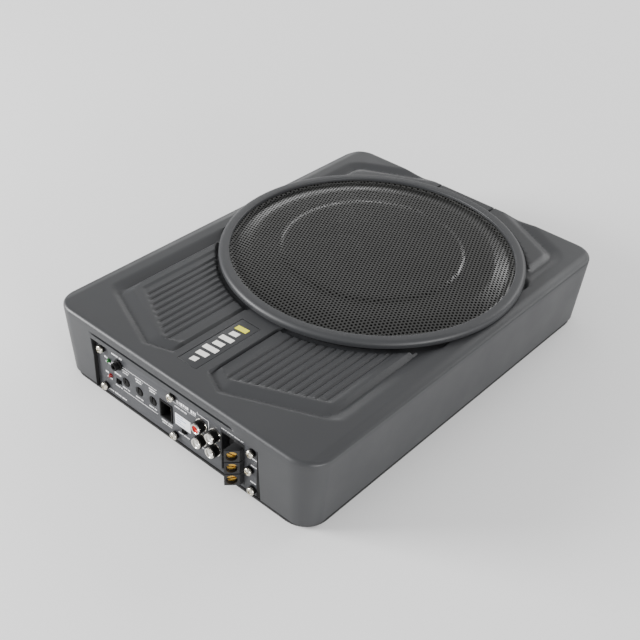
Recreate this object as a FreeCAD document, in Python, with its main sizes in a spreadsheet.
"""Powered car subwoofer: a shallow under-seat enclosure with its driver, amplifier and control panel.

Millimetres. X is the width, Y the length with the control panel on the -Y side, +Z up.
The origin is the middle of the base plate's underside, where the unit rests.
"""
import FreeCAD, Part
import math
import os
from types import SimpleNamespace

import Sketcher
from FreeCAD import Rotation, Vector

# ---------------------------------------------------------------- driving dimensions
SIZES = {
    # enclosure
    "width": (253.0, "housing width at the top edge"),
    "length": (345.0, "housing length at the top edge"),
    "top_level": (62.0, "flat top face of the housing"),
    "draft_inset": (4.0, "how far each side wall leans in at the bottom"),
    "corner_radius": (19.0, "vertical corner radius"),
    "edge_radius": (2.5, "radius of the top outer edge"),
    "wall": (4.5, "side wall thickness at the roof"),
    "rim": (3.0, "side wall thickness at the bottom rim"),
    "roof": (4.0, "roof thickness"),
    "plate": (1.2, "base plate thickness"),
    "seal": (0.8, "base gasket thickness"),
    # driver opening, driver and grille
    "driver_y": (38.5, "driver axis from the middle of the length"),
    "cutout_radius": (103.0, "hole in the roof for the basket"),
    "seat_radius": (114.5, "counterbore for the basket flange"),
    "seat_depth": (2.5, "counterbore depth"),
    "ring_radius": (120.0, "grille ring outer radius"),
    "ring_bore": (111.5, "grille ring inner radius"),
    "ring_top": (68.7, "top of the grille ring"),
    "grille_top": (70.0, "crown of the grille"),
    "grille_sheet": (1.0, "grille steel thickness"),
    # control panel
    "panel_face": (167.5, "front face of the panel from the middle"),
    "panel_sheet": (1.5, "panel thickness"),
    "opening_left": (85.5, "opening's left end from the middle"),
    "opening_right": (78.7, "opening's right end from the middle"),
    "opening_top": (48.6, "top of the panel opening"),
    "knob_radius": (3.5, "rotary control radius"),
    "knob_level": (23.4, "height of the rotary controls"),
    "knob_pitch": (14.4, "spacing of the rotary controls"),
    "knob_middle": (39.3, "middle rotary control from the centre, to the left"),
    "jack_radius": (4.15, "phono shell outer radius"),
    "jack_reach": (6.5, "how far the phono shells stand out of the panel"),
    "jack_pitch": (13.2, "spacing of the phono sockets"),
    "jack_x": (24.7, "first phono column from the middle"),
    "jack_level": (32.9, "upper phono row"),
    # badge and top relief
    "badge_width": (18.2, "badge plate width"),
    "badge_length": (62.0, "badge plate length"),
    "badge_x": (3.6, "badge centre from the middle, to the left"),
    "badge_y": (123.0, "badge centre from the middle, to the front"),
    "rib_pitch": (6.17, "spacing of the rib grooves"),
    "rib_width": (2.6, "rib groove width"),
    "rib_depth": (0.9, "rib groove depth"),
    "valley_depth": (1.8, "depth of the valley round each ribbed pad"),
    # fixings
    "bracket_x": (98.0, "bracket thread from the middle, across"),
    "bracket_y": (128.0, "bracket thread from the middle, along"),
    "bracket_hole": (2.75, "clearance hole for an M5 bracket screw"),
    "board_level": (9.0, "underside of the main board"),
    "basket_screw_circle": (108.5, "radius of the basket screw circle"),
}


class Dim:
    """A length with its value and the sheet expression that drives it."""

    def __init__(self, value, text=None):
        self.value = float(value)
        self.text = text or repr(float(value))

    def __add__(self, other):
        other = dim(other)
        return Dim(self.value + other.value, f"({self.text} + {other.text})")

    def __sub__(self, other):
        other = dim(other)
        return Dim(self.value - other.value, f"({self.text} - {other.text})")

    def __mul__(self, factor):
        return Dim(self.value * factor, f"({self.text} * {factor!r})")

    def __truediv__(self, factor):
        return Dim(self.value / factor, f"({self.text} / {factor!r})")

    def __neg__(self):
        return self * -1.0

    __radd__ = __add__

    def __rsub__(self, other):
        return dim(other) - self


def dim(amount):
    return amount if isinstance(amount, Dim) else Dim(amount)


doc = FreeCAD.newDocument("powered_subwoofer")
sheet = doc.addObject("Spreadsheet::Sheet", "Sizes")
for row, (alias, (amount, meaning)) in enumerate(SIZES.items(), start=1):
    sheet.set(f"A{row}", meaning)
    sheet.set(f"B{row}", str(amount))
    sheet.setAlias(f"B{row}", alias)
doc.recompute()
s = SimpleNamespace(**{alias: Dim(SIZES[alias][0], f"Sizes.{alias}") for alias in SIZES})

UP = Rotation()
FRONT = Rotation(Vector(1, 0, 0), 90)
LEFT = Rotation(Vector(0, 1, 0), -90)
nodes = []


# ---------------------------------------------------------------- building blocks
def place(item, spot, turn=UP):
    item.Placement = FreeCAD.Placement(Vector(), turn)
    for axis, amount in zip("xyz", spot):
        item.setExpression(f"Placement.Base.{axis}", dim(amount).text)


def block(label, low, high):
    """A box between two corners."""
    item = doc.addObject("Part::Box", label)
    for side, start, end in zip(("Length", "Width", "Height"), low, high):
        item.setExpression(side, (dim(end) - dim(start)).text)
    place(item, low)
    return item


def rod(label, radius, length, spot, turn=UP):
    item = doc.addObject("Part::Cylinder", label)
    item.setExpression("Radius", dim(radius).text)
    item.setExpression("Height", dim(length).text)
    place(item, spot, turn)
    return item


def cone(label, start_radius, end_radius, length, spot, turn=UP):
    item = doc.addObject("Part::Cone", label)
    item.setExpression("Radius1", dim(start_radius).text)
    item.setExpression("Radius2", dim(end_radius).text)
    item.setExpression("Height", dim(length).text)
    place(item, spot, turn)
    return item


def fuse(label, pieces):
    item = doc.addObject("Part::MultiFuse", label)
    item.Shapes = pieces
    return item


def group(label, pieces):
    """Separate like solids kept together as one node."""
    item = doc.addObject("Part::Compound", label)
    item.Links = pieces
    return item


def cut(label, base, tools):
    item = doc.addObject("Part::Cut", label)
    item.Base = base
    item.Tool = tools[0] if len(tools) == 1 else fuse(f"{label}_tools", tools)
    return item


def node(name, item):
    """Marks an object as a sub-part that is written to its own file."""
    item.Label = name
    nodes.append(item)
    return item


def new_body(name):
    return doc.addObject("PartDesign::Body", f"{name}_body")


def sketch(owner, name, role, level=0.0):
    drawing = owner.newObject("Sketcher::SketchObject", name)
    plane = next(face for face in owner.Origin.OriginFeatures if face.Role == role)
    drawing.AttachmentSupport = [(plane, "")]
    drawing.MapMode = "FlatFace"
    drawing.setExpression("AttachmentOffset.Base.z", dim(level).text)
    return drawing


def pin(drawing, edge, end, spot):
    """Fixes one point of a sketch edge at a pair of sheet-driven distances."""
    for kind, amount in zip(("DistanceX", "DistanceY"), spot):
        number = drawing.addConstraint(Sketcher.Constraint(kind, -1, 1, edge, end, dim(amount).value))
        drawing.setExpression(f"Constraints[{number}]", dim(amount).text)


def outline(drawing, points):
    """A closed outline of straight edges."""
    first = drawing.GeometryCount
    count = len(points)
    corners = [Vector(dim(x).value, dim(y).value, 0) for x, y in points]
    for i in range(count):
        drawing.addGeometry(Part.LineSegment(corners[i], corners[(i + 1) % count]))
    for i in range(count):
        drawing.addConstraint(Sketcher.Constraint("Coincident", first + i, 2, first + (i + 1) % count, 1))
        pin(drawing, first + i, 1, points[i])


def rectangle(drawing, low, high):
    outline(drawing, [low, (high[0], low[1]), high, (low[0], high[1])])


def circle(drawing, spot, radius):
    centre = Vector(dim(spot[0]).value, dim(spot[1]).value, 0)
    edge = drawing.addGeometry(Part.Circle(centre, Vector(0, 0, 1), dim(radius).value))
    pin(drawing, edge, 3, spot)
    number = drawing.addConstraint(Sketcher.Constraint("Radius", edge, dim(radius).value))
    drawing.setExpression(f"Constraints[{number}]", dim(radius).text)


def rounded_rectangle(drawing, width, length, radius, middle=(0.0, 0.0)):
    """Four straight sides joined by corner arcs."""
    width, length, radius = dim(width), dim(length), dim(radius)
    sides = []
    for turn in range(4):
        across, along = (width, length) if turn % 2 == 0 else (length, width)
        ends = [(-(across / 2 - radius), -(along / 2)), (across / 2 - radius, -(along / 2))]
        for _ in range(turn):
            ends = [(-y, x) for x, y in ends]
        sides.append([(middle[0] + x, middle[1] + y) for x, y in ends])
    first = drawing.GeometryCount
    for start, end in sides:
        a = Vector(dim(start[0]).value, dim(start[1]).value, 0)
        b = Vector(dim(end[0]).value, dim(end[1]).value, 0)
        drawing.addGeometry(Part.LineSegment(a, b))
    for turn in range(4):
        start = sides[turn][1]
        inward = Vector(0, 1, 0)
        for _ in range(turn):
            inward = Vector(-inward.y, inward.x, 0)
        centre = Vector(dim(start[0]).value, dim(start[1]).value, 0) + inward * radius.value
        angle = math.radians(-90 + 90 * turn)
        whole = Part.Circle(centre, Vector(0, 0, 1), radius.value)
        arc = Part.ArcOfCircle(whole, angle, angle + math.pi / 2)
        edge = drawing.addGeometry(arc)
        drawing.addConstraint(Sketcher.Constraint("Coincident", first + turn, 2, edge, 1))
        drawing.addConstraint(Sketcher.Constraint("Coincident", edge, 2, first + (turn + 1) % 4, 1))
        number = drawing.addConstraint(Sketcher.Constraint("Radius", edge, radius.value))
        drawing.setExpression(f"Constraints[{number}]", radius.text)
    for turn in range(4):
        pin(drawing, first + turn, 1, sides[turn][0])
        pin(drawing, first + turn, 2, sides[turn][1])


def pad(owner, drawing, name, height, backwards=False):
    feature = owner.newObject("PartDesign::Pad", name)
    feature.Profile = drawing
    feature.setExpression("Length", dim(height).text)
    feature.Reversed = backwards
    return feature


def pocket(owner, drawing, name, depth, backwards=False):
    """Cuts a sketch into the body and makes sure that it removed something."""
    doc.recompute()
    before = owner.Shape.Volume
    feature = owner.newObject("PartDesign::Pocket", name)
    feature.Profile = drawing
    feature.setExpression("Length", dim(depth).text)
    feature.Reversed = backwards
    doc.recompute()
    if owner.Shape.Volume >= before:
        raise RuntimeError(f"{name} cut nothing")
    return feature


def loft(owner, kind, name, sections):
    """Straight-sided loft through rounded rectangles given as (level, width, length, corner radius)."""
    drawings = []
    for i, (level, width, length, radius) in enumerate(sections):
        drawing = sketch(owner, f"{name}_{i}", "XY_Plane", level)
        rounded_rectangle(drawing, width, length, radius)
        drawings.append(drawing)
    feature = owner.newObject(f"PartDesign::{kind}", name)
    feature.Profile = drawings[0]
    feature.Sections = drawings[1:]
    feature.Ruled = True
    return feature


def turned(name, points, x=0.0, y=0.0):
    """A piece turned about a vertical axis from its half section (radius, height)."""
    owner = new_body(name)
    drawing = sketch(owner, f"{name}_section", "XZ_Plane")
    outline(drawing, points)
    feature = owner.newObject("PartDesign::Revolution", f"{name}_turn")
    feature.Profile = drawing
    feature.ReferenceAxis = (drawing, ["V_Axis"])
    feature.Angle = 360
    place(owner, (x, y, 0.0))
    return owner


def round_spots(count, radius, start=0.0):
    """Evenly spaced spots on a circle about the driver's axis."""
    spots = []
    for i in range(count):
        angle = math.radians(start + 360.0 * i / count)
        spots.append((dim(radius) * math.cos(angle), s.driver_y + dim(radius) * math.sin(angle)))
    return spots


def screw(label, spot, turn, head_radius, head_height, shank_radius, shank_length):
    """A screw whose head starts at spot; the head points along turn's +Z and the shank goes back."""
    back = turn.multVec(Vector(0, 0, -1))
    tail = tuple(dim(c) + shank_length * b for c, b in zip(spot, (back.x, back.y, back.z)))
    head = rod(f"{label}_head", head_radius, head_height, spot, turn)
    shank = rod(f"{label}_shank", shank_radius, shank_length, tail, turn)
    return fuse(label, [head, shank])


# ---------------------------------------------------------------- derived levels
rim_level = s.plate + s.seal
ceiling = s.top_level - s.roof
seat_level = s.top_level - s.seat_depth
foot_width = s.width - s.draft_inset * 2
foot_length = s.length - s.draft_inset * 2
panel_back = s.panel_face - s.panel_sheet
base_posts = [(112.0, 154.0), (-112.0, 154.0), (112.0, -148.0), (-112.0, -148.0),
              (113.0, -52.0), (-113.0, -52.0), (56.0, 157.0), (-56.0, 157.0)]
panel_screw_spots = [(-78.0, 41.3), (-76.6, 7.8), (-3.8, 40.8), (-1.9, 7.0),
                     (72.3, 39.8), (70.6, 23.2), (73.2, 7.0)]
bracket_spots = [(s.bracket_x * i, s.bracket_y * j) for i in (-1.0, 1.0) for j in (-1.0, 1.0)]
basket_screw_spots = round_spots(8, s.basket_screw_circle, 22.5)


# ---------------------------------------------------------------- housing
def pad_outline(side):
    """The ribbed pad beside the badge: its outer edge on one side, from under the ring to its tip."""
    shift = 0.0 if side > 0 else -3.5
    return [(103.0 * side, -40.0), (103.0 * side, -128.0), (side * 38.0 + shift, -159.0),
            (side * 18.0 + shift, -152.0)]


def make_housing():
    """Cast shell: drafted walls, roof with the driver seat, ribbed pads, panel frame and screw posts."""
    owner = new_body("housing")
    edge = s.edge_radius
    loft(owner, "AdditiveLoft", "housing_shell", [
        (rim_level, foot_width, foot_length, s.corner_radius),
        (s.top_level - edge, s.width - edge * 0.1, s.length - edge * 0.1, s.corner_radius),
        (s.top_level - edge * 0.3, s.width - edge * 0.6, s.length - edge * 0.6,
         s.corner_radius - edge * 0.3),
        (s.top_level, s.width - edge * 2.0, s.length - edge * 2.0, s.corner_radius - edge)])
    inner_radius = s.corner_radius - s.rim
    loft(owner, "SubtractiveLoft", "housing_hollow", [
        (rim_level, foot_width - s.rim * 2, foot_length - s.rim * 2, inner_radius),
        (ceiling, s.width - s.wall * 2, s.length - s.wall * 2, inner_radius)])

    thickening = sketch(owner, "seat_thickening", "XY_Plane", ceiling + 0.5)
    circle(thickening, (0.0, s.driver_y), s.seat_radius + 4.0)
    circle(thickening, (0.0, s.driver_y), s.cutout_radius)
    pad(owner, thickening, "seat_ring", 4.0, backwards=True)

    frame = sketch(owner, "panel_frame", "XZ_Plane", s.panel_face + 0.5)
    rectangle(frame, (-(s.opening_left + 4.0), rim_level), (s.opening_right + 4.0, s.opening_top + 6.0))
    pad(owner, frame, "panel_frame_pad", 7.0, backwards=True)

    posts = sketch(owner, "posts", "XY_Plane", ceiling + 0.5)
    for spot in base_posts:
        circle(posts, spot, 4.5)
    for spot in bracket_spots:
        circle(posts, spot, 6.0)
    pad(owner, posts, "screw_posts", ceiling + 0.5 - rim_level, backwards=True)

    opening = sketch(owner, "opening", "XZ_Plane", s.length / 2 + 2.0)
    rectangle(opening, (-s.opening_left, 0.0), (s.opening_right, s.opening_top))
    pocket(owner, opening, "panel_opening", s.length / 2 + 2.0 - panel_back)

    window = sketch(owner, "window", "XZ_Plane", panel_back)
    rectangle(window, (-73.4, rim_level + 2.5), (66.0, 44.0))
    pocket(owner, window, "panel_window", 8.0)

    bosses = sketch(owner, "panel_bosses", "XZ_Plane", panel_back)
    for spot in panel_screw_spots:
        circle(bosses, spot, 3.6)
    pad(owner, bosses, "panel_boss_pads", 8.0, backwards=True)

    threads = sketch(owner, "panel_threads", "XZ_Plane", panel_back)
    for spot in panel_screw_spots:
        circle(threads, spot, 1.55)
    pocket(owner, threads, "panel_thread_holes", 9.0)

    groove = sketch(owner, "lip_groove", "XZ_Plane", s.length / 2 + 2.0)
    rectangle(groove, (-s.opening_left, s.opening_top + 4.6), (66.0, s.opening_top + 5.6))
    pocket(owner, groove, "lip_groove_cut", 4.0)

    seat = sketch(owner, "seat", "XY_Plane", s.top_level)
    circle(seat, (0.0, s.driver_y), s.seat_radius)
    pocket(owner, seat, "driver_seat", s.seat_depth)
    cutout = sketch(owner, "cutout", "XY_Plane", s.top_level)
    circle(cutout, (0.0, s.driver_y), s.cutout_radius)
    pocket(owner, cutout, "driver_cutout", 10.0)

    valleys = sketch(owner, "valleys", "XY_Plane", s.top_level)
    for side in (1.0, -1.0):
        outer = pad_outline(side)
        inner = [(outer[3][0] + 1.0 * side, -145.0), (outer[2][0] + 1.0 * side, -151.5),
                 (94.0 * side, -123.0), (94.0 * side, -40.0)]
        outline(valleys, outer + inner)
    for i in (-1.0, 1.0):
        rectangle(valleys, (min(48 * i, 30 * i), 163.0), (max(48 * i, 30 * i), 176.0))
    pocket(owner, valleys, "pad_valleys", s.valley_depth)

    ribs = sketch(owner, "ribs", "XY_Plane", s.top_level)
    for side, first, count in ((1.0, 26.0, 11), (-1.0, -34.0, 9)):
        for i in range(count):
            middle = first + side * s.rib_pitch.value * i
            reach = -math.sqrt(117.0 ** 2 - middle ** 2) + s.driver_y.value
            end = -143.4 + 0.452 * (abs(middle) - abs(first))
            low_x, high_x = middle - s.rib_width / 2, middle + s.rib_width / 2
            outline(ribs, [(low_x, reach), (low_x, end + 0.6), (middle, end), (high_x, end + 0.6),
                           (high_x, reach)])
    pocket(owner, ribs, "rib_grooves", s.rib_depth)

    recess = sketch(owner, "badge_recess", "XY_Plane", s.top_level)
    rounded_rectangle(recess, s.badge_width, s.badge_length, 1.0, (-s.badge_x, -s.badge_y))
    pocket(owner, recess, "badge_pocket", 1.0)

    tapped = sketch(owner, "tapped_holes", "XY_Plane", rim_level)
    for spot in base_posts:
        circle(tapped, spot, 1.7)
    for spot in bracket_spots:
        circle(tapped, spot, 2.1)
    pocket(owner, tapped, "tapped_hole_cut", 14.0, backwards=True)

    basket_holes = sketch(owner, "basket_holes", "XY_Plane", seat_level)
    for spot in basket_screw_spots:
        circle(basket_holes, spot, 1.7)
    pocket(owner, basket_holes, "basket_thread_holes", 4.0)
    return owner


node("housing", make_housing())


# ---------------------------------------------------------------- base
def make_base_plate():
    """Flat steel plate that closes the bottom, with countersunk and bracket holes."""
    owner = new_body("base_plate")
    blank = sketch(owner, "plate_blank", "XY_Plane")
    rounded_rectangle(blank, foot_width - 0.6, foot_length - 0.6, s.corner_radius)
    pad(owner, blank, "plate_pad", s.plate)
    holes = sketch(owner, "plate_holes", "XY_Plane")
    for spot in base_posts:
        circle(holes, spot, 2.0)
    for spot in bracket_spots:
        circle(holes, spot, s.bracket_hole)
    pocket(owner, holes, "plate_hole_cut", s.plate, backwards=True)
    return owner


def make_base_gasket():
    """Foam strip that seals the plate to the housing rim."""
    owner = new_body("base_gasket")
    strip = sketch(owner, "gasket_strip", "XY_Plane", s.plate)
    rounded_rectangle(strip, foot_width - 1.0, foot_length - 1.0, s.corner_radius - 0.5)
    rounded_rectangle(strip, foot_width - 5.0, foot_length - 5.0, s.corner_radius - 2.5)
    pad(owner, strip, "gasket_pad", s.seal)
    return owner


plate = make_base_plate()
sinks = [cone(f"base_sink_{i}", 3.6, 2.0, 1.0, (x, y, 0.0)) for i, (x, y) in enumerate(base_posts)]
node("base_plate", cut("base_plate_sunk", plate, sinks))
node("base_gasket", make_base_gasket())
node("base_screws", group("base_screw_group", [
    fuse(f"base_screw_{i}", [cone(f"base_screw_head_{i}", 3.5, 1.6, 1.15, (x, y, 0.0)),
                             rod(f"base_screw_shank_{i}", 1.6, 12.0, (x, y, 0.5))])
    for i, (x, y) in enumerate(base_posts)]))

# ---------------------------------------------------------------- grille
ring_foot = s.top_level + 0.2
node("grille_ring", turned("grille_ring", [
    (s.ring_radius, ring_foot), (s.ring_radius, s.ring_top - 3.2), (s.ring_radius - 0.9, s.ring_top - 1.2),
    (s.ring_radius - 3.0, s.ring_top), (s.ring_bore + 1.0, s.ring_top), (s.ring_bore, s.ring_top - 1.0),
    (s.ring_bore, s.ring_top - 2.6), (s.ring_bore + 3.2, s.ring_top - 2.6), (s.ring_bore + 3.2, ring_foot)],
    y=s.driver_y))


def make_grille():
    """Perforated steel cap: flat rim under the ring, a sloping shoulder and a slightly crowned middle."""
    under = s.grille_top - s.grille_sheet
    rim_top = s.ring_top - 2.9
    points = [(0.0, s.grille_top), (70.0, s.grille_top - 0.8), (80.0, s.grille_top - 1.8),
              (s.ring_bore - 4.0, rim_top), (s.ring_bore + 2.6, rim_top),
              (s.ring_bore + 2.6, rim_top - s.grille_sheet), (s.ring_bore - 4.0, rim_top - s.grille_sheet),
              (80.0, under - 1.8), (70.0, under - 0.8), (0.0, under)]
    return turned("grille", points, y=s.driver_y)


node("grille", make_grille())

# ---------------------------------------------------------------- badge
badge_face = s.top_level - 0.1
badge_half_width, badge_half_length = s.badge_width / 2 - 0.4, s.badge_length / 2 - 0.4
node("badge_plate", block("badge_plate_box",
                          (-s.badge_x - badge_half_width, -s.badge_y - badge_half_length, s.top_level - 1.0),
                          (-s.badge_x + badge_half_width, -s.badge_y + badge_half_length, badge_face)))
bar_lengths = (5.0, 9.0, 12.0, 8.0, 11.0, 6.5, 10.0)
bar_pitch, bar_width = 7.6, 4.6
first_bar = -s.badge_y - 26.5
node("badge_bars", group("badge_bar_group", [
    block(f"badge_bar_{i}", (-s.badge_x - across / 2, first_bar + bar_pitch * i, badge_face),
          (-s.badge_x + across / 2, first_bar + bar_pitch * i + bar_width, badge_face + 0.4))
    for i, across in enumerate(bar_lengths)]))

# ---------------------------------------------------------------- control panel
knob_spots = {"gain_knob": -s.knob_middle - s.knob_pitch, "lowpass_knob": -s.knob_middle,
              "bass_knob": -s.knob_middle + s.knob_pitch}
led_spots = {"power_led": (-71.0, 33.8), "protect_led": (-70.6, 20.1)}
jack_spots = [(s.jack_x + s.jack_pitch * i, s.jack_level - s.jack_pitch * j)
              for i in (0, 1) for j in (0, 1)]
socket_low, socket_high = (-17.7, 14.8), (-4.5, 31.0)
terminal_low, terminal_high = (42.8, 5.0), (65.0, 41.0)
phase_spot = (-62.0, 19.4)
input_spot = (7.2, 15.6)
remote_spot = (-60.6, 35.8)


def make_panel():
    """Painted steel plate with the openings for every control and socket."""
    owner = new_body("control_panel")
    blank = sketch(owner, "panel_blank", "XZ_Plane", panel_back)
    rectangle(blank, (-(s.opening_left - 0.5), rim_level + 0.4),
              (s.opening_right - 0.5, s.opening_top - 0.4))
    pad(owner, blank, "panel_pad", s.panel_sheet)
    holes = sketch(owner, "panel_holes", "XZ_Plane", s.panel_face)
    for x in knob_spots.values():
        circle(holes, (x, s.knob_level), s.knob_radius + 0.4)
    for spot in led_spots.values():
        circle(holes, spot, 1.6)
    for spot in jack_spots:
        circle(holes, spot, s.jack_radius + 0.4)
    for spot in panel_screw_spots:
        circle(holes, spot, 1.7)
    circle(holes, remote_spot, 3.3)
    rectangle(holes, (phase_spot[0] - 3.0, phase_spot[1] - 2.0), (phase_spot[0] + 3.0, phase_spot[1] + 2.0))
    rectangle(holes, (input_spot[0] - 2.9, input_spot[1] - 1.9), (input_spot[0] + 2.9, input_spot[1] + 1.9))
    rectangle(holes, socket_low, socket_high)
    rectangle(holes, terminal_low, terminal_high)
    pocket(owner, holes, "panel_hole_cut", s.panel_sheet)
    return owner


node("control_panel", make_panel())
node("panel_screws", group("panel_screw_group", [
    screw(f"panel_screw_{i}", (x, -s.panel_face, z), FRONT, 3.0, 2.3, 1.45, 9.0)
    for i, (x, z) in enumerate(panel_screw_spots)]))

# knobs: a slotted cap on a shaft that turns in its potentiometer
pot_front, pot_half = -(s.panel_face - 3.4), 3.8
for name, x in knob_spots.items():
    cap = rod(f"{name}_cap", s.knob_radius, 3.8, (x, -(s.panel_face - 3.1), s.knob_level), FRONT)
    shaft = rod(f"{name}_shaft", 1.95, 6.2, (x, -(s.panel_face - 8.6), s.knob_level), FRONT)
    slot = block(f"{name}_slot", (x - 0.4, -(s.panel_face + 2.0), s.knob_level - 0.4),
                 (x + 0.4, -(s.panel_face - 0.1), s.knob_level + s.knob_radius + 1.0))
    node(name, cut(f"{name}_cut", fuse(f"{name}_whole", [cap, shaft]), [slot]))
pots = []
for i, x in enumerate(knob_spots.values()):
    case = block(f"pot_case_{i}", (x - pot_half, pot_front, s.knob_level - 5.5),
                 (x + pot_half, pot_front + 6.0, s.knob_level + 5.0))
    bore = rod(f"pot_bore_{i}", 2.0, 8.0, (x, pot_front + 5.5, s.knob_level), FRONT)
    pots.append(cut(f"pot_{i}", case, [bore]))
node("potentiometers", group("pot_group", pots))

# indicators
for name, (x, z) in led_spots.items():
    lens = rod(f"{name}_lens", 1.5, 5.0, (x, -(s.panel_face - 4.0), z), FRONT)
    dome = doc.addObject("Part::Sphere", f"{name}_dome")
    dome.Radius = 1.5
    place(dome, (x, -(s.panel_face + 1.0), z))
    collar = rod(f"{name}_collar", 1.9, 1.0, (x, -(s.panel_face - 4.5), z), FRONT)
    node(name, fuse(f"{name}_whole", [lens, dome, collar]))

# remote level socket
x, z = remote_spot
barrel = rod("remote_barrel", 3.0, 11.5, (x, -(s.panel_face - 6.5), z), FRONT)
remote_case = block("remote_case", (x - 5.0, -(s.panel_face - 3.0), z - 5.0),
                    (x + 5.0, -(s.panel_face - 10.0), z + 5.0))
remote_bore = rod("remote_bore", 1.8, 13.5, (x, -(s.panel_face - 8.0), z), FRONT)
node("remote_jack", cut("remote_jack_cut", fuse("remote_jack_whole", [barrel, remote_case]), [remote_bore]))
nut_blank = rod("remote_nut_blank", 4.3, 1.6, (x, -s.panel_face, z), FRONT)
nut_hole = rod("remote_nut_hole", 3.05, 1.8, (x, -(s.panel_face - 0.1), z), FRONT)
node("remote_jack_nut", cut("remote_nut_cut", nut_blank, [nut_hole]))


# slide switches: a small case behind the panel and a thumb piece that slides across
def slide_switch(name, spot, half_width, half_height, travel):
    x, z = spot
    case = block(f"{name}_case", (x - half_width - 1.2, -(s.panel_face - 1.9), z - half_height - 1.0),
                 (x + half_width + 1.2, -(s.panel_face - 7.5), z + half_height + 1.0))
    track = block(f"{name}_track", (x - half_width - 0.4, -(s.panel_face + 0.1), z - half_height + 0.3),
                  (x + half_width + 0.4, -(s.panel_face - 5.0), z + half_height - 0.3))
    node(f"{name}_body", cut(f"{name}_body_cut", case, [track]))
    thumb = half_width - travel - 0.4
    lever = block(f"{name}_lever", (x - thumb, -(s.panel_face + 1.4), z - half_height + 0.6),
                  (x + thumb, -(s.panel_face - 2.6), z + half_height - 0.6))
    slider = block(f"{name}_slider_foot", (x - thumb - 0.5, -(s.panel_face - 2.3), z - half_height + 0.6),
                   (x + thumb + 0.5, -(s.panel_face - 4.6), z + half_height - 0.6))
    node(f"{name}_slider", fuse(f"{name}_slider_whole", [lever, slider]))


slide_switch("phase_switch", phase_spot, 3.0, 2.0, 1.2)
slide_switch("input_switch", input_spot, 2.9, 1.9, 1.0)

# high-level input socket
shell = block("socket_blank", (socket_low[0] + 0.15, -(s.panel_face + 0.6), socket_low[1] + 0.15),
              (socket_high[0] - 0.15, -(s.panel_face - 12.0), socket_high[1] - 0.15))
cavity = block("socket_cavity", (socket_low[0] + 1.4, -(s.panel_face + 1.0), socket_low[1] + 1.4),
               (socket_high[0] - 1.4, -(s.panel_face - 10.5), socket_high[1] - 1.4))
node("high_level_socket", cut("high_level_socket_cut", shell, [cavity]))
pin_columns, pin_rows = (-13.7, -8.5), (18.2, 22.9, 27.6)
node("high_level_pins", group("socket_pin_group", [
    block(f"socket_pin_{i}_{j}", (px - 0.5, -(s.panel_face - 5.5), pz - 0.5),
          (px + 0.5, -(s.panel_face - 10.5), pz + 0.5))
    for i, px in enumerate(pin_columns) for j, pz in enumerate(pin_rows)]))

# phono sockets
jack_bore = s.jack_radius - 0.5
shells = []
inserts = []
for i, (x, z) in enumerate(jack_spots):
    foot = (x, -(s.panel_face - 6.0), z)
    tube = rod(f"jack_tube_{i}", s.jack_radius, s.jack_reach + 6.0, foot, FRONT)
    flange = rod(f"jack_flange_{i}", s.jack_radius + 0.7, 1.0, (x, -(s.panel_face - 3.0), z), FRONT)
    inside = rod(f"jack_inside_{i}", jack_bore, s.jack_reach + 8.0, (x, -(s.panel_face - 7.0), z), FRONT)
    shells.append(cut(f"jack_shell_{i}", fuse(f"jack_shell_whole_{i}", [tube, flange]), [inside]))
    core = rod(f"jack_core_{i}", jack_bore, s.jack_reach + 5.4, foot, FRONT)
    hole = rod(f"jack_hole_{i}", 1.6, s.jack_reach + 3.0, (x, -(s.panel_face - 3.0), z), FRONT)
    inserts.append(cut(f"jack_insert_{i}", core, [hole]))
node("rca_shells", group("jack_shell_group", shells))
node("rca_insert_red", inserts[0])
node("rca_insert_white", inserts[1])
node("rca_output_inserts", group("jack_output_group", inserts[2:]))
node("rca_block", block("rca_block_box", (s.jack_x - 4.7, -(s.panel_face - 6.3), 13.0),
                        (s.jack_x + s.jack_pitch + 4.7, -(s.panel_face - 12.0), 39.5)))

# power terminal block
tower_foot, tower_head = 6.6, 38.5
tier_height = (tower_head - tower_foot) / 3


def make_terminal_block():
    """Moulded block: a flange in the panel, a side pocket and an angled tower in three tiers."""
    owner = new_body("terminal_block")
    flange = sketch(owner, "terminal_flange", "XZ_Plane", s.panel_face + 0.2)
    rectangle(flange, (terminal_low[0] + 0.15, terminal_low[1] + 0.15),
              (terminal_high[0] - 0.15, terminal_high[1] - 0.15))
    pad(owner, flange, "terminal_flange_pad", 11.0, backwards=True)
    side = sketch(owner, "terminal_side", "XZ_Plane", s.panel_face + 0.2)
    rectangle(side, (terminal_low[0] + 1.4, tower_foot), (56.0, terminal_high[1] - 1.4))
    pocket(owner, side, "terminal_side_pocket", 7.0)
    for i in range(3):
        tier = sketch(owner, f"terminal_tier_{i}", "XY_Plane", tower_foot + tier_height * i + 0.4)
        outline(tier, [(56.0, -(s.panel_face - 9.0)), (56.0, -(s.panel_face + 10.0)),
                       (57.0, -(s.panel_face + 11.0)), (64.2, -(s.panel_face + 3.6)),
                       (64.2, -(s.panel_face - 9.0))])
        pad(owner, tier, f"terminal_tier_pad_{i}", tier_height - 0.8)
    spine = sketch(owner, "terminal_spine", "XY_Plane", tower_foot)
    outline(spine, [(56.4, -(s.panel_face - 9.0)), (56.4, -(s.panel_face + 9.0)),
                    (57.2, -(s.panel_face + 9.8)), (63.4, -(s.panel_face + 3.4)),
                    (63.4, -(s.panel_face - 9.0))])
    pad(owner, spine, "terminal_spine_pad", tower_head - tower_foot)
    return owner


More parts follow.
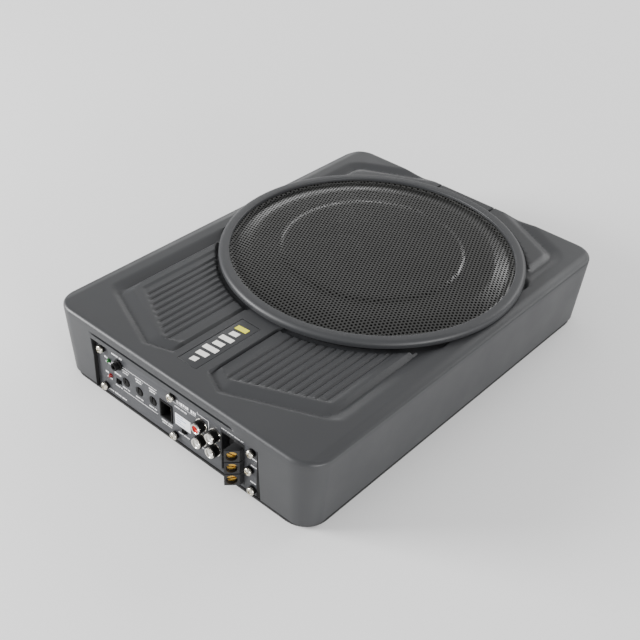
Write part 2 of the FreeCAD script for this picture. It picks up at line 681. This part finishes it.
terminal = make_terminal_block()
angled = Rotation(Vector(0, 0, 1), 45) * FRONT
entries = []
recesses = []
terminal_screws = []
clamps = []
clamp_rooms = []
face_x, face_y = 60.5, -(s.panel_face + 7.3)
for i in range(3):
    z = tower_foot + tier_height * (i + 0.5)
    entries.append(block(f"wire_entry_{i}", (54.0, -(s.panel_face + 5.6), z - 3.2),
                         (60.6, -(s.panel_face + 0.2), z + 3.2)))
    recesses.append(rod(f"screw_recess_{i}", 3.9, 4.0, (face_x - 1.6, face_y + 1.6, z), angled))
    terminal_screws.append(rod(f"terminal_screw_{i}", 3.3, 1.3, (face_x - 1.55, face_y + 1.55, z), angled))
    clamps.append(block(f"terminal_clamp_{i}", (60.6, -(s.panel_face + 3.3), z - 3.0),
                        (62.6, -(s.panel_face - 5.0), z + 3.0)))
    clamp_rooms.append(block(f"clamp_room_{i}", (60.5, -(s.panel_face + 3.35), z - 3.05),
                             (62.65, -(s.panel_face - 5.05), z + 3.05)))
node("terminal_block", cut("terminal_block_cut", terminal, entries + recesses + clamp_rooms))
node("terminal_screws", group("terminal_screw_group", terminal_screws))
node("terminal_clamps", group("terminal_clamp_group", clamps))
node("panel_label", block("panel_label_box", (-1.9, -(s.panel_face + 0.15), 17.5),
                          (13.4, -s.panel_face, 27.6)))

# ---------------------------------------------------------------- electronics
board_top = s.board_level + 1.6
board_holes = [(x, y) for x in (-82.0, 82.0) for y in (-148.0, -90.0)]
board_blank = block("main_board_blank", (-88.0, -154.0, s.board_level), (88.0, -84.0, board_top))
node("main_board", cut("main_board_cut", board_blank, [
    rod(f"board_hole_{i}", 1.7, 4.0, (x, y, s.board_level - 1.0)) for i, (x, y) in enumerate(board_holes)]))
node("standoffs", group("standoff_group", [
    rod(f"standoff_{i}", 3.0, s.board_level - s.plate, (x, y, s.plate))
    for i, (x, y) in enumerate(board_holes)]))
node("board_screws", group("board_screw_group", [
    rod(f"board_screw_{i}", 2.8, 2.0, (x, y, board_top)) for i, (x, y) in enumerate(board_holes)]))
node("control_board", block("control_board_box", (-77.0, -(s.panel_face - 12.1), s.board_level + 2.0),
                            (39.0, -(s.panel_face - 13.5), 42.5)))
node("capacitors", group("capacitor_group", [
    rod(f"capacitor_{i}", 8.0, 25.0, (-70.0 + 19.0 * i, -98.0, board_top)) for i in range(4)]))
coil = doc.addObject("Part::Torus", "toroid_ring")
coil.Radius1 = 14.0
coil.Radius2 = 5.5
place(coil, (30.0, -110.0, board_top + 5.6))
node("toroid_coil", coil)
node("output_choke", fuse("output_choke_whole", [
    rod("choke_drum", 8.0, 14.0, (58.0, -102.0, board_top + 1.5)),
    rod("choke_foot", 9.5, 1.5, (58.0, -102.0, board_top)),
    rod("choke_cap", 9.5, 1.5, (58.0, -102.0, board_top + 15.5))]))
node("amplifier_chip", block("amplifier_chip_box", (-30.0, -140.0, board_top),
                             (-10.0, -128.0, board_top + 3.0)))
node("heat_clamp", block("heat_clamp_box", (76.0, -140.0, board_top + 3.0),
                         (79.5, -100.0, board_top + 22.0)))
node("transistors", group("transistor_group", [
    fuse(f"transistor_{i}", [
        block(f"transistor_body_{i}", (79.5, y, board_top + 5.0), (84.0, y + 10.0, board_top + 20.0)),
        block(f"transistor_legs_{i}", (81.0, y + 2.0, board_top), (82.0, y + 8.0, board_top + 5.0))])
    for i, y in enumerate((-138.0, -126.0, -114.0))]))
node("speaker_connector", block("speaker_connector_box", (2.0, -96.0, board_top),
                                (14.0, -88.0, board_top + 9.0)))

# ---------------------------------------------------------------- driver
flange_foot = seat_level + 0.6
gasket_strip = turned("basket_gasket_strip", [
    (104.0, seat_level), (114.0, seat_level), (114.0, flange_foot), (104.0, flange_foot)], y=s.driver_y)
gasket_holes = [rod(f"gasket_hole_{i}", 1.9, 2.0, (x, y, seat_level - 0.5))
                for i, (x, y) in enumerate(basket_screw_spots)]
node("basket_gasket", cut("basket_gasket_cut", gasket_strip, gasket_holes))
basket = turned("basket", [
    (114.0, flange_foot), (114.0, flange_foot + 1.4), (100.4, flange_foot + 1.4), (99.0, 40.0),
    (55.0, 25.4), (52.0, 24.0), (44.5, 24.0), (44.5, 22.5), (52.4, 22.5), (55.4, 23.8), (100.4, 38.8),
    (101.8, flange_foot)],
    y=s.driver_y)
windows = []
for i in range(6):
    angle = 60.0 * i + 30.0
    turn = Rotation(Vector(0, 0, 1), angle)
    reach = turn.multVec(Vector(62.0, -17.0, 0.0))
    vent = block(f"basket_window_{i}", (0.0, 0.0, 0.0), (32.0, 34.0, 40.0))
    place(vent, (reach.x, s.driver_y + reach.y, 18.0), turn)
    windows.append(vent)
screw_holes = [rod(f"basket_hole_{i}", 1.9, 4.0, (x, y, seat_level))
               for i, (x, y) in enumerate(basket_screw_spots)]
node("woofer_basket", cut("woofer_basket_cut", basket, windows + screw_holes))
node("woofer_screws", group("woofer_screw_group", [
    screw(f"woofer_screw_{i}", (x, y, flange_foot + 1.4), UP, 2.6, 0.9, 1.5, 5.0)
    for i, (x, y) in enumerate(basket_screw_spots)]))
driver_sections = {
    "top_plate": [(26.9, 17.5), (46.0, 17.5), (46.0, 22.5), (26.9, 22.5)],
    "magnet": [(30.0, 8.5), (50.0, 8.5), (50.0, 17.5), (30.0, 17.5)],
    "yoke": [(0.0, 3.5), (48.0, 3.5), (48.0, 8.5), (24.7, 8.5), (24.7, 22.5), (0.0, 22.5)],
    "coil_former": [(25.2, 14.0), (25.6, 14.0), (25.6, 42.0), (25.2, 42.0)],
    "voice_coil": [(25.6, 14.5), (26.3, 14.5), (26.3, 25.5), (25.6, 25.5)]}
for name, section in driver_sections.items():
    node(name, turned(name, section, y=s.driver_y))
node("cone", turned("cone", [
    (25.6, 38.0), (30.0, 38.0), (86.0, 53.0), (90.0, 53.6), (90.0, 54.6), (85.6, 54.0), (30.0, 39.2),
    (25.6, 39.2)],
    y=s.driver_y))
node("dust_cap", turned("dust_cap", [
    (0.0, 47.6), (14.0, 46.6), (26.0, 43.2), (34.6, 40.6), (35.0, 41.4), (26.4, 44.2), (14.2, 47.6),
    (0.0, 48.6)],
    y=s.driver_y))
node("surround", turned("surround", [
    (88.0, 54.8), (90.4, 54.8), (91.2, 57.6), (94.4, 59.8), (97.6, 57.6), (98.4, 55.0), (98.9, 55.0),
    (98.9, 55.9), (98.5, 58.2), (94.4, 60.8), (90.4, 58.2), (89.6, 55.8), (88.0, 55.8)], y=s.driver_y))
wave = [(27.0 + 3.0 * i, 31.0 + (1.2 if i % 2 else 0.0)) for i in range(8)]
node("spider", turned("spider", wave + [(r, z + 0.6) for r, z in reversed(wave)], y=s.driver_y))
node("spider_ring", turned("spider_ring", [(48.4, 24.0), (51.0, 24.0), (51.0, 31.5), (48.4, 31.5)],
                           y=s.driver_y))
node("speaker_terminal", block("speaker_terminal_box", (-8.0, s.driver_y - 103.6, 42.0),
                               (8.0, s.driver_y - 102.2, 52.0)))

# ---------------------------------------------------------------- write the files
doc.recompute()
for item in doc.Objects:
    if {"Invalid", "Error"} & set(item.State):
        raise RuntimeError(f"{item.Name} {item.Label}: {item.State}")
os.makedirs("parts", exist_ok=True)
for item in nodes:
    if item.Shape.isNull() or not item.Shape.isValid():
        raise RuntimeError(f"{item.Label}: bad shape")
    item.Shape.exportStep(f"parts/{item.Label}.step")
    print(item.Label, "solids", len(item.Shape.Solids), "volume", round(item.Shape.Volume, 1))
print(len(nodes), "nodes")
